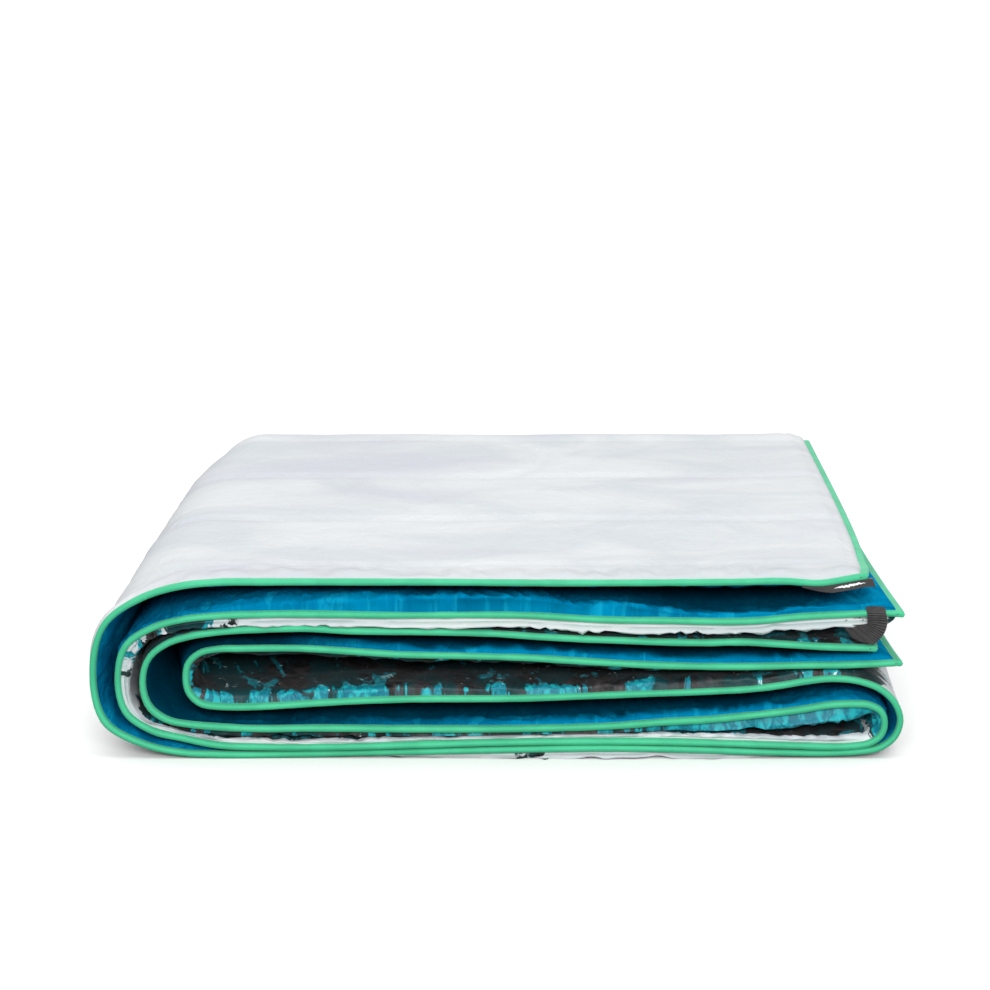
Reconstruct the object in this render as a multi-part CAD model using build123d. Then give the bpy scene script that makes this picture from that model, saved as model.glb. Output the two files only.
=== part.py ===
"""A quilted camp blanket, folded for storage.

The blanket is one quilt: a printed outer shell, a lining and synthetic insulation between them,
closed all round by a folded binding tape. It is folded in half across its width, with the fold at
the back and both long edges at the front, and the double strip is then folded in half twice along
its length. That gives four passes of two plies, each ply one quilt thick.

Every cross-section in here is drawn in (y, q): y runs back from the front edge, and q is the
distance from the plane between the two plies of a pass. Ply A lies at +q and ply B at -q.
A straight pass is that section extruded along X, and a fold is the same section revolved about Y.

Frame: millimetres, +Z up, +Y to the back, origin at the bottom centre of the folded stack.
"""

import os
from math import pi

from build123d import *

# The quilt, laid flat.
BLANKET_LENGTH = 1905.0
BLANKET_WIDTH = 1320.0
LOFT = 13.2
FABRIC = 0.5
EDGE = 3.2
TAPER = 38.0

# The stack.
PLY_GAP = 0.3
PLIES = 8
FREE_END_REACH = 24.0
BEND_ZONE = 170.0
BEND_BEFORE_AXIS = 45.0

# The binding tape.
TAPE_WALL = 1.0
TAPE_DEPTH = 9.0
TAPE_NOSE = 1.6

# The webbing loop and the label at the corner.
LOOP_WIDTH = 13.5
LOOP_FROM_CORNER = 9.3
WEBBING = 1.2
LOOP_INSIDE = 3.0
LOOP_DROP = 18.4
LOOP_WRAP = 1.0
BARTACK = (10.0, 1.6, 0.4)
LABEL_LENGTH = 33.0
LABEL_DROP = 6.7
LABEL_THICK = 0.8
LABEL_FROM_LOOP = 1.5
LABEL_SEAM = 7.0

RUNNING_GAP = 0.3

# Worked out from the above.
PITCH = LOFT + PLY_GAP
MID = PITCH / 2
TAPE_HALF = EDGE / 2 + TAPE_WALL
STACK_HEIGHT = PLIES * PITCH - PLY_GAP
BACK_RADIUS = MID + LOFT / 2
DEPTH = (BLANKET_WIDTH - pi * MID) / 2 + BACK_RADIUS
LOOP_OUT = LOOP_INSIDE + WEBBING
LOOP_REACH = LOOP_WRAP + RUNNING_GAP + 2 * LOOP_OUT

# Each pass: the height of the plane between its plies, and whether ply A is above it.
COVER, BASE, MIDDLE, INNER = (7, True), (1, False), (3, True), (5, False)
# Each fold: its axis height in plies, its radius to the plane between plies, and ply A's side.
OUTER_FOLD, RIGHT_FOLD, INNER_FOLD = (4, 3, True), (2, 1, True), (4, 1, False)

FOLD_LENGTH = pi * (3 * PITCH + MID) + pi * (PITCH + MID) + pi * (PITCH - MID)
SPAN = (BLANKET_LENGTH - FOLD_LENGTH - 2 * FREE_END_REACH) / 4
WIDTH = SPAN + (STACK_HEIGHT / 2) + (2 * PITCH - PLY_GAP / 2)
LEFT_AXIS = -WIDTH / 2 + STACK_HEIGHT / 2
RIGHT_AXIS = LEFT_AXIS + SPAN
FREE_END = RIGHT_AXIS + FREE_END_REACH
BEND_END = LEFT_AXIS + BEND_ZONE
FRONT = -(DEPTH + LOOP_REACH) / 2 + LOOP_REACH


def level(plies):
    """Height of the gap above that many plies."""
    return plies * PITCH - PLY_GAP / 2


def point(x, y, z):
    """A point of the model, with y counted from the front edge."""
    return Vector(x, FRONT + y, z)


def closed(edges):
    return Face(Wire(edges))


def chain(points):
    return [Line(a, b) for a, b in zip(points, points[1:])]


def surface_edges(place, full, edge, rise=TAPER):
    """One surface of the double quilt as edges, from ply A's front, round the back, to ply B's front.

    full and edge are its distance from the middle of the ply, where the quilt is lofted and where
    it is flattened for the binding. place turns (y, q) into a point.
    """
    back = DEPTH - BACK_RADIUS
    a_full, a_edge = MID + full, MID + edge
    start, end = TAPE_DEPTH, TAPE_DEPTH + rise
    bend = (start + end) / 2
    path = []
    for side in (1, -1):
        leg = [Line(place(TAPE_NOSE, side * a_edge), place(start, side * a_edge))]
        leg.append(
            Bezier(
                place(start, side * a_edge),
                place(bend, side * a_edge),
                place(bend, side * a_full),
                place(end, side * a_full),
            )
        )
        leg.append(Line(place(end, side * a_full), place(back, side * a_full)))
        path.append(leg)
    turn = ThreePointArc(place(back, a_full), place(back + a_full, 0), place(back, -a_full))
    return path[0] + [turn] + path[1][::-1]


LAYERS = {
    "shell": ((LOFT / 2, EDGE / 2), (LOFT / 2 - FABRIC, EDGE / 2 - FABRIC)),
    "insulation": (
        (LOFT / 2 - FABRIC, EDGE / 2 - FABRIC),
        (FABRIC - LOFT / 2, FABRIC - EDGE / 2),
    ),
    "lining": ((FABRIC - LOFT / 2, FABRIC - EDGE / 2), (-LOFT / 2, -EDGE / 2)),
}


def layer_face(place, layer, thin=False):
    """The section of one layer of the double quilt. thin gives it flattened all the way round."""
    outside, inside = LAYERS[layer]
    pairs = [(edge, edge) if thin else (full, edge) for full, edge in (outside, inside)]
    outer, inner = (surface_edges(place, *pair) for pair in pairs)
    ends = [
        Line(outer[0] @ 0, inner[0] @ 0),
        Line(outer[-1] @ 0, inner[-1] @ 0),
    ]
    return closed(outer + inner + ends)


def tape_face(place, side):
    """The section of the binding tape on one ply's front edge: a slot for the quilt, and a round nose."""
    mid = side * MID
    nose = place(0, mid)
    top = [place(TAPE_DEPTH, mid + s * TAPE_HALF) for s in (1, -1)]
    shoulder = [place(TAPE_HALF, mid + s * TAPE_HALF) for s in (1, -1)]
    slot = [place(TAPE_DEPTH, mid + s * EDGE / 2) for s in (1, -1)]
    bottom = [place(TAPE_NOSE, mid + s * EDGE / 2) for s in (1, -1)]
    return closed(
        [
            Line(top[0], shoulder[0]),
            ThreePointArc(shoulder[0], nose, shoulder[1]),
            Line(shoulder[1], top[1]),
            Line(top[1], slot[1]),
            Line(slot[1], bottom[1]),
            Line(bottom[1], bottom[0]),
            Line(bottom[0], slot[0]),
            Line(slot[0], top[0]),
        ]
    )


def pass_place(stack_pass, x):
    plies, a_above = stack_pass
    sign = 1 if a_above else -1
    return lambda y, q: point(x, y, level(plies) + sign * q)


def fold_place(fold, axis_x):
    axis_plies, radius_plies, a_outside = fold
    sign = 1 if a_outside else -1
    radius = radius_plies * PITCH
    return lambda y, q: point(axis_x, y, level(axis_plies) + radius + sign * q)


def along(section, stack_pass, x0, x1):
    """section, extruded over a stretch of a straight pass."""
    return extrude(section(pass_place(stack_pass, x0)), x1 - x0, dir=(1, 0, 0))


def around(section, fold):
    """section, revolved half a turn about a fold's axis."""
    axis_x = RIGHT_AXIS if fold is RIGHT_FOLD else LEFT_AXIS
    turn = Vector(0, 1 if fold is RIGHT_FOLD else -1, 0)
    axis = Axis((axis_x, 0, level(fold[0])), turn)
    return revolve(section(fold_place(fold, axis_x)), axis, 180)


def to_free_end(layer, stack_pass, x0):
    """A pass from x0 to its free end, where the quilt thins down into the end tape."""
    flat_from = FREE_END - TAPE_DEPTH
    lofted_to = flat_from - TAPER
    body = along(lambda place: layer_face(place, layer), stack_pass, x0, lofted_to)
    full = layer_face(pass_place(stack_pass, lofted_to), layer)
    flat = layer_face(pass_place(stack_pass, flat_from), layer, thin=True)
    slope = loft([full, flat], ruled=True)
    hem = along(
        lambda place: layer_face(place, layer, thin=True),
        stack_pass,
        flat_from,
        FREE_END - TAPE_NOSE,
    )
    return body + slope + hem


def end_tape(stack_pass):
    """The tape on a free end: along ply A, round the back fold and along ply B."""
    plies, a_above = stack_pass
    sign = 1 if a_above else -1
    z = level(plies)
    back = DEPTH - BACK_RADIUS

    def section(y, middle):
        def place(depth, offset):
            return point(FREE_END - depth, y, z + middle + offset)

        sides = (TAPE_HALF, -TAPE_HALF)
        outer = [place(TAPE_DEPTH, s) for s in sides]
        shoulder = [place(TAPE_HALF, s) for s in sides]
        slot = [place(TAPE_DEPTH, s) for s in (EDGE / 2, -EDGE / 2)]
        bottom = [place(TAPE_NOSE, s) for s in (EDGE / 2, -EDGE / 2)]
        return closed(
            [Line(outer[0], shoulder[0])]
            + [ThreePointArc(shoulder[0], place(0, 0), shoulder[1])]
            + chain([shoulder[1], outer[1], slot[1], bottom[1], bottom[0], slot[0], outer[0]])
        )

    legs = [extrude(section(0, side * sign * MID), back, dir=(0, 1, 0)) for side in (1, -1)]
    axis = Axis(point(0, back, z), (-1, 0, 0))
    turn = revolve(section(back, MID), axis, 180)
    return legs[0] + turn + legs[1]


def free_pass(stack_pass):
    """A pass beyond the bend zone, as {node suffix: solid}."""
    start = BEND_END + RUNNING_GAP
    made = {layer: to_free_end(layer, stack_pass, start) for layer in LAYERS}
    for name, side in (("edge_a", 1), ("edge_b", -1)):
        made[name] = along(
            lambda place, side=side: tape_face(place, side),
            stack_pass,
            start,
            FREE_END - TAPE_DEPTH,
        )
    made["end"] = end_tape(stack_pass)
    return made


def bend_zone(stack_pass):
    """The stretch of a pass that bends when the upper half is lifted."""
    made = {
        layer: along(
            lambda place, layer=layer: layer_face(place, layer), stack_pass, LEFT_AXIS, BEND_END
        )
        for layer in LAYERS
    }
    for name, side in (("edge_a", 1), ("edge_b", -1)):
        made[name] = along(
            lambda place, side=side: tape_face(place, side), stack_pass, LEFT_AXIS, BEND_END
        )
    return made


def folded_run(section):
    """The run from the outer left fold to the inner left fold, as its five stretches."""
    return {
        "outer_fold": around(section, OUTER_FOLD),
        "base": along(section, BASE, LEFT_AXIS, RIGHT_AXIS),
        "right_fold": around(section, RIGHT_FOLD),
        "middle": along(section, MIDDLE, LEFT_AXIS, RIGHT_AXIS),
        "inner_fold": around(section, INNER_FOLD),
    }


def joined(solids):
    whole, *rest = solids
    for solid in rest:
        whole = whole + solid
    return whole


def loop_parts():
    """The webbing loop on ply B's corner: its sewn wrap, its bar tacks and the hanging ring."""
    x1 = FREE_END - LOOP_FROM_CORNER
    x0 = x1 - LOOP_WIDTH
    z = level(COVER[0]) - MID

    def place(y, q):
        return point(x0, y, z + q)

    inner, outer = TAPE_HALF, TAPE_HALF + LOOP_WRAP
    wrap = closed(
        [
            Line(place(TAPE_DEPTH, outer), place(TAPE_HALF, outer)),
            ThreePointArc(
                place(TAPE_HALF, outer), place(TAPE_HALF - outer, 0), place(TAPE_HALF, -outer)
            ),
        ]
        + chain([place(TAPE_HALF, -outer), place(TAPE_DEPTH, -outer), place(TAPE_DEPTH, -inner)])
        + [
            Line(place(TAPE_DEPTH, -inner), place(TAPE_HALF, -inner)),
            ThreePointArc(place(TAPE_HALF, -inner), place(0, 0), place(TAPE_HALF, inner)),
            Line(place(TAPE_HALF, inner), place(TAPE_DEPTH, inner)),
            Line(place(TAPE_DEPTH, inner), place(TAPE_DEPTH, outer)),
        ]
    )
    pivot_y = -(LOOP_WRAP + RUNNING_GAP + LOOP_OUT)

    def stadium(radius):
        high, low = (pivot_y, 0), (pivot_y, -LOOP_DROP)
        return closed(
            [
                ThreePointArc(
                    place(high[0] - radius, high[1]),
                    place(high[0], high[1] + radius),
                    place(high[0] + radius, high[1]),
                ),
                Line(place(high[0] + radius, high[1]), place(low[0] + radius, low[1])),
                ThreePointArc(
                    place(low[0] + radius, low[1]),
                    place(low[0], low[1] - radius),
                    place(low[0] - radius, low[1]),
                ),
                Line(place(low[0] - radius, low[1]), place(high[0] - radius, high[1])),
            ]
        )

    across = {"amount": LOOP_WIDTH, "dir": (1, 0, 0)}
    ring = extrude(stadium(LOOP_OUT), **across) - extrude(stadium(LOOP_INSIDE), **across)
    length, width, height = BARTACK
    tacks = [
        Pos(*point((x0 + x1) / 2, TAPE_DEPTH - width, z + side * (outer + height / 2)))
        * Box(length, width, height)
        for side in (1, -1)
    ]
    return {
        "corner_loop_wrap": extrude(wrap, **across),
        "corner_loop": ring,
        "corner_loop_bartacks": Compound(tacks),
    }


def label_parts():
    """The woven label under ply A's corner: its sewn strip and the flap that hangs from it."""
    x1 = FREE_END - LOOP_FROM_CORNER - LOOP_WIDTH - LABEL_FROM_LOOP
    top = level(COVER[0]) + MID - TAPE_HALF
    strip = Pos(
        *point(x1 - LABEL_LENGTH / 2, TAPE_DEPTH - LABEL_SEAM / 2, top - LABEL_THICK / 2)
    ) * Box(LABEL_LENGTH, LABEL_SEAM, LABEL_THICK)
    flap_top = top - LABEL_THICK - RUNNING_GAP
    flap = Pos(
        *point(x1 - LABEL_LENGTH / 2, TAPE_NOSE, flap_top - LABEL_DROP / 2)
    ) * Box(LABEL_LENGTH, LABEL_THICK, LABEL_DROP)
    return {"label_seam": strip, "label_flap": flap}


def all_parts():
    parts = {}
    for name, stack_pass in (("cover", COVER), ("inner", INNER)):
        for piece, solid in free_pass(stack_pass).items():
            parts[f"{node_kind(piece)}_{name}"] = solid
        for piece, solid in bend_zone(stack_pass).items():
            parts[f"{node_kind(piece)}_{name}_bend"] = solid
    shell = folded_run(lambda place: layer_face(place, "shell"))
    for name, solid in shell.items():
        parts[f"shell_{name}"] = solid
    for layer in ("insulation", "lining"):
        run = folded_run(lambda place, layer=layer: layer_face(place, layer))
        parts[f"{layer}_folded_run"] = joined(run.values())
    for name, side in (("binding_a", 1), ("binding_b", -1)):
        run = folded_run(lambda place, side=side: tape_face(place, side))
        parts[f"{name}_folded_run"] = joined(run.values())
    parts.update(loop_parts())
    parts.update(label_parts())
    return parts


def node_kind(piece):
    return {"edge_a": "binding_a", "edge_b": "binding_b", "end": "binding_end"}.get(piece, piece)


os.makedirs("parts", exist_ok=True)
for node, shape in all_parts().items():
    export_step(shape, f"parts/{node}.step")
print(f"folded width {WIDTH:.2f}, depth {DEPTH:.2f}, height {STACK_HEIGHT:.2f}, front at y {FRONT:.2f}")
print(f"left axis {LEFT_AXIS:.2f}, right axis {RIGHT_AXIS:.2f}, free end {FREE_END:.2f}, bend end {BEND_END:.2f}")
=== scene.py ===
"""Looks for the folded camp blanket, with its quilt, edge tape, webbing loop and label.

The blanket is followed along its length by a station u: 0 to 1 is the cover pass from its free end to
the left, 1 to 2 the outer left fold, 2 to 3 the base, 3 to 4 the right fold, 4 to 5 the middle pass,
5 to 6 the inner left fold, and 6 to 7 the inner pass out to its free end. Across its width it is
followed from the front edge of ply A (side +1), round the back fold, to the front edge of ply B
(side -1). Lengths are in millimetres until a mesh is made.
"""

import math

import bpy
import numpy as np
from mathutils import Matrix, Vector


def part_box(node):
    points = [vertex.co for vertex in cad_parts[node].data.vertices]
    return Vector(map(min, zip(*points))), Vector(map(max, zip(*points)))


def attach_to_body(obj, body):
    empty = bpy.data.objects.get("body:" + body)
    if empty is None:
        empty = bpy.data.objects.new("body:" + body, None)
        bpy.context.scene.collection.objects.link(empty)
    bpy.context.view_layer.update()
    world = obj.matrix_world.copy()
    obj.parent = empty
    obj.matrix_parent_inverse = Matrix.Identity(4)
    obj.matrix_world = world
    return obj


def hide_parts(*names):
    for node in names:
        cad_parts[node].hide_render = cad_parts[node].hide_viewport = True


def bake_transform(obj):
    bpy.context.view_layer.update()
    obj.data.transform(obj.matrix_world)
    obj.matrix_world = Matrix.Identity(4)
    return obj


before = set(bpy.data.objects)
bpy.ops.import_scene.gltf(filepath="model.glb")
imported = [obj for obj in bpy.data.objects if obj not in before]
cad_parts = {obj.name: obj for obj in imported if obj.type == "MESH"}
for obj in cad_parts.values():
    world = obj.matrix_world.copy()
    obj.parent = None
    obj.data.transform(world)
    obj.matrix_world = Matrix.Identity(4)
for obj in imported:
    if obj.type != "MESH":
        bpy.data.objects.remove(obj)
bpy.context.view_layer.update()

MM = 0.001
SIDES = (1, -1)


def cad(node):
    """Lowest and highest corner of a CAD node, in millimetres."""
    low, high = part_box(node)
    return np.array(low) / MM, np.array(high) / MM


# ---- sizes: first the chosen ones, then those read from the CAD

PLIES = 8
PLY_GAP = 0.3
TAPE_DEPTH = 5.5
TAPE_HALF = 1.95
TAPE_SLOT = 1.2
TAPE_NOSE = 1.6
LOFT_START = 4.6
EDGE_HALF = 1.15
CLOTH = 0.45
FILL_INSET = 1.4

STACK = cad("shell_outer_fold")[1][2]
PITCH = (STACK + PLY_GAP) / PLIES
MID = PITCH / 2
HALF_LOFT = (PITCH - PLY_GAP) / 2
LEFT = cad("shell_outer_fold")[1][0]
RIGHT = cad("shell_right_fold")[0][0]
FREE_END = cad("binding_end_cover")[1][0]
BEND_END = cad("shell_cover_bend")[1][0]
FRONT = cad("binding_a_cover")[0][1]
BACK = cad("shell_base")[1][1]
BACK_TURN = BACK - MID - HALF_LOFT
LEG = BACK_TURN - FRONT
SPAN = FREE_END - LEFT
HALF_WIDTH = LEG + math.pi * MID / 2
WIDTH = 2 * HALF_WIDTH

# ---- the front edges

# Centre lines of the front edge tapes as (x, z), with a group of points for each stretch. A pass is
# read along x and a fold at even turns. At the free ends x is the CAD's, before RETRACT draws them in.
# The stretches of ply A, from the cover pass to the inner pass.
EDGE_A = (
    ((240.5, 111.5), (226, 108.9), (211, 106.8), (190, 107.9), (150, 107.5), (60, 107), (-60, 107),
     (-140, 107.2), (-170, 106.9)),
    ((-189.5, 104.9), (-214.5, 97.1), (-235, 82.5), (-243.2, 52), (-235.5, 21), (-214.5, 8.9),
     (-189.5, 3.2)),
    ((-170, 2.2), (-120, 2.2), (-60, 3.5), (0, 5.1), (60, 6.2), (120, 5.2), (170, 3.4), (203, 3.1)),
    ((216.5, 4), (229, 6.4), (237.6, 13.2), (240.8, 22.9), (237.8, 33.1), (230, 41.3), (216.5, 46.9)),
    ((200, 48.8), (185, 47.4), (170, 44.8), (154, 42.6), (127, 40.8), (80, 38.9), (20, 37), (-60, 35.9),
     (-110, 33.4), (-140, 31.3), (-158, 30.7)),
    ((-168, 31), (-179.5, 33.2), (-185.8, 39.5), (-187.6, 48.7), (-185.8, 57.7), (-179.5, 63.5),
     (-168, 66.2)),
    ((-155, 66.6), (-115, 66.8), (-88, 65.2), (-61, 63.4), (-20, 62.4), (20, 61.1), (46, 59.3),
     (100, 56.4), (154, 56), (181, 56.7), (210, 57.1), (240.5, 58.4)),
)
# The same for ply B.
EDGE_B = (
    ((240.5, 88.2), (225, 88.7), (205, 87.9), (181, 86.6), (154, 84), (100, 83.9), (60, 84.5), (20, 86.9),
     (-60, 87.2), (-142, 87.6), (-170, 86.6)),
    ((-189.5, 84.4), (-208.5, 78.9), (-222.6, 69.3), (-228.2, 48.2), (-223, 27), (-209, 17.1),
     (-189.5, 12)),
    ((-170, 8), (-140, 6.6), (-100, 6.7), (-50, 8.2), (0, 9.5), (50, 10.2), (100, 10), (150, 8.6),
     (180, 7.6), (203, 7)),
    ((213, 7.5), (223.5, 9.6), (229.4, 14.3), (231.4, 21.4), (229.4, 28.4), (223, 32.3), (212, 33.3)),
    ((200, 32.8), (181, 29.8), (154, 26.5), (127, 23.6), (100, 22), (73, 19.7), (20, 17.9), (-60, 17.6),
     (-115, 18), (-142, 17.7), (-170, 19)),
    ((-185, 20.4), (-199, 23.3), (-209.4, 31.1), (-213.4, 46.4), (-209.4, 61.1), (-199, 69.6),
     (-185, 74.3)),
    ((-170, 76.7), (-142, 78.5), (-115, 79), (-88, 77.6), (-34, 76.9), (0, 75.9), (20, 74.4), (46, 72.9),
     (73, 71.8), (127, 70.5), (154, 70.9), (181, 69.6), (205, 68.3), (240.5, 67.5)),
)
FRONT_EDGE = {1: EDGE_A, -1: EDGE_B}

# How far each free end is drawn in from the CAD's, for the cover and for the inner pass: at the back
# fold, and at the front edges of ply A and ply B with the distance over which that fades.
RETRACT = {0: (7.8, (20.4, 110.0), (-2.0, 300.0)), 6: (8.0, (-1.4, 130.0), (14.0, 130.0))}
RETRACT_FROM = 60.0

# Over this depth the plies run from their front edges back to their places in the CAD.
SETTLE_DEPTH = 120.0
EDGE_SWAY = 2.2
# How far the outer left fold's shoulder swells out, as (depth, distance). It is drawn in at the back.
FOLD_SWELL = (
    (0, 0), (40, 1.6), (120, 7), (250, 8), (395, 8.5), (455, 8.5), (505, 7.5), (550, 4), (600, -2.5),
    (640, -6), (700, -6.5),
)
SHOULDER = (74.0, 100.0)
# The swell starts this far right of the left folds' axis and is full after this distance.
SWELL_FROM, SWELL_REACH = 30.0, 80.0
NOISE_GRID = 128


def smooth(t):
    t = np.clip(t, 0, 1)
    return t * t * (3 - 2 * t)


def patches(x, y, seed, size):
    """Smooth noise from -1 to 1, with patches about size[0] wide in x and size[1] in y."""
    values = np.random.default_rng(seed).uniform(-1, 1, (NOISE_GRID, NOISE_GRID))
    x, y = np.broadcast_arrays(np.asarray(x, float) / size[0], np.asarray(y, float) / size[1])
    ix, iy = np.floor(x).astype(int), np.floor(y).astype(int)
    fx, fy = smooth(x - ix), smooth(y - iy)

    def corner(a, b):
        return values[(ix + a) % NOISE_GRID, (iy + b) % NOISE_GRID]

    near = corner(0, 0) * (1 - fx) + corner(1, 0) * fx
    far = corner(0, 1) * (1 - fx) + corner(1, 1) * fx
    return near * (1 - fy) + far * fy


def read(table, at):
    """The values of a table of (place, value) pairs, read at other places."""
    return np.interp(at, *zip(*table))


def curve_through(knots, values, at):
    """A smooth curve through values at knots, read at other places."""
    knots, values = np.asarray(knots, float), np.asarray(values, float)
    steps = np.diff(knots)
    slopes = np.diff(values) / steps
    tangents = np.empty_like(values)
    tangents[1:-1] = (slopes[:-1] * steps[1:] + slopes[1:] * steps[:-1]) / (steps[1:] + steps[:-1])
    tangents[0], tangents[-1] = slopes[0], slopes[-1]
    i = np.clip(np.searchsorted(knots, at, side="right") - 1, 0, len(steps) - 1)
    t = (at - knots[i]) / steps[i]
    return (
        values[i] * (1 + 2 * t) * (1 - t) ** 2
        + tangents[i] * steps[i] * t * (1 - t) ** 2
        + values[i + 1] * t * t * (3 - 2 * t)
        + tangents[i + 1] * steps[i] * t * t * (t - 1)
    )


# ---- where each ply runs


def level(plies):
    return plies * PITCH - PLY_GAP / 2


# Where each pass starts and ends, the height of the plane between its plies, and ply A's side.
PASSES = {
    0: (FREE_END, LEFT, level(7), 1),
    2: (LEFT, RIGHT, level(1), -1),
    4: (RIGHT, LEFT, level(3), 1),
    6: (LEFT, FREE_END, level(5), -1),
}
# Each fold's axis, the way it bulges, whether it starts at its top, its radius and ply A's side.
FOLDS = {
    1: (LEFT, level(4), -1, 1, 3 * PITCH, 1),
    3: (RIGHT, level(2), 1, -1, PITCH, 1),
    5: (LEFT, level(4), -1, -1, PITCH, -1),
}


def cad_path(u, q):
    """The CAD's place (x, z) at stations u, at the distance q from the plane between the plies."""
    x, z = np.empty_like(u), np.empty_like(u)
    stretch = np.clip(np.floor(u).astype(int), 0, 6)
    for s, (x0, x1, height, side) in PASSES.items():
        here = stretch == s
        x[here] = x0 + (x1 - x0) * (u[here] - s)
        z[here] = height + side * q
    for s, (axis_x, axis_z, bulge, top, radius, side) in FOLDS.items():
        here = stretch == s
        turn = math.pi * (u[here] - s)
        r = radius + side * q
        x[here] = axis_x + bulge * r * np.sin(turn)
        z[here] = axis_z + top * r * np.cos(turn)
    return x, z


def front_knots(side):
    """Stations, distances along and places of the points that a front edge runs through."""
    stretches = FRONT_EDGE[side]
    stations_at, points = [], []
    for s, stretch in enumerate(stretches):
        if s in FOLDS:
            at = [s + i / (len(stretch) - 1) for i in range(len(stretch))]
        else:
            start = stretch[0][0] if s == 0 else stretches[s - 1][-1][0]
            end = stretch[-1][0] if s == 6 else stretches[s + 1][0][0]
            at = [s + (x - start) / (end - start) for x, _ in stretch]
        stations_at += at
        points += stretch
    points = np.array(points)
    chords = np.hypot(*np.diff(points, axis=0).T)
    return stations_at, np.concatenate([[0], np.cumsum(chords)]), points


FRONT_KNOTS = {side: front_knots(side) for side in SIDES}


def front_place(u, side):
    """Place (x, z) of a front edge at stations u."""
    stations_at, distances, points = FRONT_KNOTS[side]
    at = np.interp(u, stations_at, distances)
    return curve_through(distances, points[:, 0], at), curve_through(distances, points[:, 1], at)


def retract(u, across):
    """How far a free end is drawn in at stations u. across is the distance from ply A's front edge."""
    out = np.zeros(np.broadcast(u, across).shape)
    for s, (back, (front_a, reach_a), (front_b, reach_b)) in RETRACT.items():
        x = FREE_END - u * SPAN if s == 0 else LEFT + (u - 6) * SPAN
        here = (u < 1) if s == 0 else (u > 6)
        ramp = smooth((x - RETRACT_FROM) / (FREE_END - RETRACT_FROM)) * here
        near_a = np.exp(-across / reach_a)
        near_b = np.exp(-(WIDTH - across) / reach_b)
        amount = back + (front_a - back) * near_a + (front_b - back) * near_b
        out = out + ramp * amount
    return out


def middle(u, side, depth, q=MID):
    """The middle of a ply (x, z) at stations u and the distance depth behind the front edge."""
    x, z = cad_path(u, side * q)
    front = smooth(1 - depth / SETTLE_DEPTH)
    if front > 0:
        front_x, front_z = front_place(u, side)
        x = x + (front_x - x) * front
        z = z + (front_z - z) * front
    swell = curve_through(*zip(*FOLD_SWELL), depth)
    if swell > 0:
        swell = swell * smooth((z - SHOULDER[0]) / (SHOULDER[1] - SHOULDER[0]))
    x = x - swell * smooth((LEFT + SWELL_FROM - x) / SWELL_REACH)
    across = depth if side > 0 else WIDTH - depth
    x = x - retract(u, across)
    return x, z


def outward(x, z):
    """Unit vectors (x, z) from the lining to the shell side of ply A, along a curve."""
    tx, tz = np.gradient(x), np.gradient(z)
    length = np.hypot(tx, tz)
    return tz / length, -tx / length


# ---- the grid over the whole quilt

COLUMN_STEP = 3.2
# About the radius of the right and the inner left fold, to space their columns.
INNER_RADIUS = 22.0
FRONT_ROWS = (1.6, 3.2, 4.6, 5.6, 6.7, 8, 9.6, 11.5, 13.8, 16.5, 20, 24, 29, 35, 42, 50)
ROW_STEP = 8.0
TURN_ROWS = 8
# How far each ply has turned round the back fold on its flat part.
FLAT = {1: 0.0, -1: math.pi}
QUILT_FIRST = 50.0
QUILT_SPACING = 190.0
QUILT_GROOVE = 7.0
QUILT_PINCH = 0.34
QUILT_TURN_AT = 253.0
QUILT_TURN_EVERY = 640.0
QUILT_TURN_SHIFT = 250.0
QUILT_TURN_BULGE = 0.42
# A turn's groove is wider than a row's: distances to it count at this share.
QUILT_TURN_WIDTH = 0.6
QUILT_WAVE, QUILT_WAVE_SIZE = 2.5, (120, 400)
END_REACH = 12.0
EDGE_CREASE = 3.2
EDGE_CREASE_START = 8.0
EDGE_CREASE_REACH = 30.0
SOFT_CREASE = 0.8
# Sizes of the creases, along the edge and back from it.
SKEW_SIZE, RIDGE_SIZE, FINE_SIZE = (80, 90), (15, 42), (7, 20)
BROAD_SIZE, SMALL_SIZE = (55, 75), (21, 26)
# The overhang keeps its size over the first distance and fades over the second.
LIP_FLAT, LIP_FADE = 8.0, 16.0
LIP_WAVES = 0.5
LEAST_HALF = 0.9
SWAY_LENGTH, SWAY_DEPTH = 95.0, 60.0
# Stands for a distance with nothing near.
FAR = 1e3


def stations():
    """Stations of the columns, with one at every place where pieces are cut apart."""
    end_steps = FREE_END - np.array(FRONT_ROWS)

    def evenly(a, b):
        return np.linspace(a, b, max(2, round(abs(b - a) / COLUMN_STEP) + 1))

    def fold(s, radius):
        return s + evenly(0, math.pi * radius)[1:] / (math.pi * radius)

    free = np.concatenate([end_steps, evenly(end_steps[-1] - 5, BEND_END), evenly(BEND_END, LEFT)[1:]])
    cover = (FREE_END - free) / SPAN
    across = evenly(0, RIGHT - LEFT)[1:] / (RIGHT - LEFT)
    parts = [
        cover, fold(1, 3 * PITCH), 2 + across, fold(3, INNER_RADIUS), 4 + across,
        fold(5, INNER_RADIUS), 7 - cover[::-1][1:],
    ]
    return np.concatenate(parts)


def rows():
    """Each row as (side, depth behind the front edge, turn round the back fold, distance across)."""
    depths = list(FRONT_ROWS)
    count = round((LEG - depths[-1]) / ROW_STEP)
    depths += list(np.linspace(depths[-1], LEG, count + 1)[1:])
    found = [(1, d, FLAT[1], d) for d in depths]
    for i in range(1, TURN_ROWS):
        turn = math.pi * i / TURN_ROWS
        found.append((1 if i < TURN_ROWS / 2 else -1, LEG, turn, LEG + MID * turn))
    found += [(-1, d, FLAT[-1], WIDTH - d) for d in reversed(depths)]
    return found


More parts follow.
